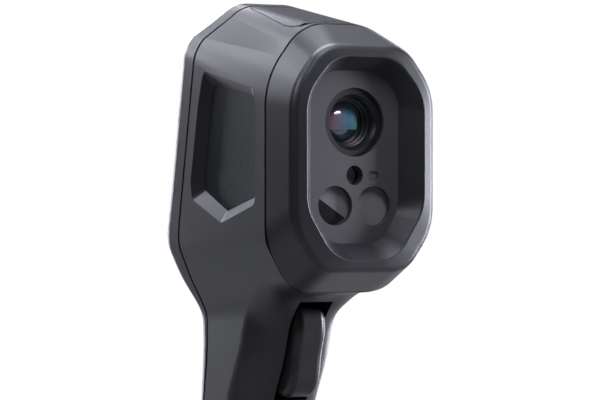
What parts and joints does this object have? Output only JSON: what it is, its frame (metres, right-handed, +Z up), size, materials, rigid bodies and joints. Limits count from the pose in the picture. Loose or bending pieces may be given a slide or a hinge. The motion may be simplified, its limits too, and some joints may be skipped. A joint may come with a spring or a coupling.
{
  "type": "handheld thermal imaging camera",
  "caption": "Pistol-grip thermal imaging camera with a hooded infrared lens, trigger, port cover, rear display and keypad, and a tripod socket in the grip.",
  "frame": {"origin": "centre of the tripod socket's mouth in the base of the grip", "axes": "+Z up along the grip and head, the infrared lens looks along -Y and the display faces +Y, +X to the user's right"},
  "size_m": [0.0634, 0.0921, 0.2111],
  "materials": {
    "charcoal_plastic": "fine moulded texture",
    "inlay_plastic": "smooth matt",
    "satin_black": "satin",
    "grey_panel": "satin moulded",
    "smoked_plastic": "smoked translucent",
    "black_nylon": "glass-filled",
    "black_ring": "polished rim",
    "black_anodised": "black anodised",
    "germanium": "anti-reflection coated",
    "shutter_metal": "black oxide",
    "sensor_can": "plated can",
    "circuit_board": "solder mask",
    "clear_window": "clear",
    "diffuser_window": "frosted",
    "led_ceramic": "phosphor",
    "bright_reflector": "vacuum metallised",
    "brass_module": "turned",
    "brass_insert": "turned and knurled",
    "steel_screws": "zinc plated",
    "steel_pins": "ground",
    "steel_spring": "spring wire",
    "port_steel": "drawn",
    "socket_plastic": "moulded",
    "switch_plastic": "moulded",
    "key_rubber": "matt silicone",
    "black_rubber": "matt",
    "silicone_mat": "translucent silicone",
    "black_foam": "closed cell",
    "display_glass": "hard-coated",
    "display_module": "liquid crystal panel",
    "battery_wrap": "heat-shrink sleeve",
    "nickel_contacts": "nickel plated",
    "lead_wire": "silicone sleeve",
    "flex_ribbon": "polyimide"
  },
  "bodies": {
    "case": {"front_bezel": "charcoal_plastic", "bezel_seal": "black_rubber", "lens_panel": "grey_panel", "light_pipe": "smoked_plastic", "optics_bracket": "black_nylon", "bezel_screws": "steel_screws", "lens_trim_ring": "black_ring", "lens_barrel": "black_anodised", "front_lens": "germanium", "rear_lens": "germanium", "lens_screws": "steel_screws", "shutter_housing": "black_nylon", "thermal_core": "sensor_can", "core_board": "circuit_board", "camera_window": "clear_window", "worklight_window": "diffuser_window", "laser_window": "clear_window", "visual_camera": "black_nylon", "worklight_led": "led_ceramic", "worklight_reflector": "bright_reflector", "laser_module": "brass_module", "sensor_board": "circuit_board", "sensor_board_screws": "steel_screws", "side_inlay_left": "inlay_plastic", "side_inlay_right": "inlay_plastic", "main_housing": "charcoal_plastic", "rear_shell": "charcoal_plastic", "case_seal": "black_rubber", "trigger_pin": "steel_pins", "trigger_spring": "steel_spring", "trigger_switch": "switch_plastic", "port_cover_pin": "steel_pins", "port_board": "circuit_board", "usb_port": "port_steel", "thermocouple_socket": "socket_plastic", "display_window": "display_glass", "display_gasket": "black_foam", "display_module": "display_module", "main_board": "circuit_board", "keypad_mat": "silicone_mat", "battery_cell": "battery_wrap", "battery_cradle": "black_nylon", "battery_contacts": "nickel_contacts", "battery_lead": "lead_wire", "sensor_ribbon": "flex_ribbon", "tripod_insert": "brass_insert", "lanyard_bar": "steel_pins", "case_screws": "steel_screws", "main_board_screws": "steel_screws"},
    "trigger": {"trigger": "satin_black"},
    "port_cover": {"port_cover": "charcoal_plastic"},
    "key_up": {"key_up": "key_rubber"},
    "key_select": {"key_select": "key_rubber"},
    "key_down": {"key_down": "key_rubber"},
    "key_return": {"key_return": "key_rubber"},
    "key_gallery": {"key_gallery": "key_rubber"},
    "shutter_blade": {"shutter_blade": "shutter_metal"}
  },
  "joints": [
    {"name": "trigger_pull", "type": "hinge", "parent": "case", "child": "trigger", "pos_m": [0, -0.026, 0.0986], "axis": [1, 0, 0], "range_deg": [0, 4], "stiffness_Nm_per_rad": 0.6, "springref_deg": -5.73, "deforming": ["trigger_spring"]},
    {"name": "port_cover_hinge", "type": "hinge", "parent": "case", "child": "port_cover", "pos_m": [0, -0.0512, 0.20108], "axis": [1, 0, 0], "range_deg": [0, 95]},
    {"name": "shutter_slide", "type": "slide", "parent": "case", "child": "shutter_blade", "axis": [0, 0, -1], "range_m": [0, 0.0126], "stiffness_N_per_m": 8, "springref_m": -0.002},
    {"name": "key_up_press", "type": "slide", "parent": "case", "child": "key_up", "axis": [0, -0.9842, -0.1772], "range_m": [0, 0.0005], "stiffness_N_per_m": 800, "springref_m": -0.001},
    {"name": "key_select_press", "type": "slide", "parent": "case", "child": "key_select", "axis": [0, -0.9842, -0.1772], "range_m": [0, 0.0005], "stiffness_N_per_m": 800, "springref_m": -0.001},
    {"name": "key_down_press", "type": "slide", "parent": "case", "child": "key_down", "axis": [0, -0.9842, -0.1772], "range_m": [0, 0.0005], "stiffness_N_per_m": 800, "springref_m": -0.001},
    {"name": "key_return_press", "type": "slide", "parent": "case", "child": "key_return", "axis": [0, -0.9842, -0.1772], "range_m": [0, 0.0005], "stiffness_N_per_m": 800, "springref_m": -0.001},
    {"name": "key_gallery_press", "type": "slide", "parent": "case", "child": "key_gallery", "axis": [0, -0.9842, -0.1772], "range_m": [0, 0.0005], "stiffness_N_per_m": 800, "springref_m": -0.001}
  ]
}
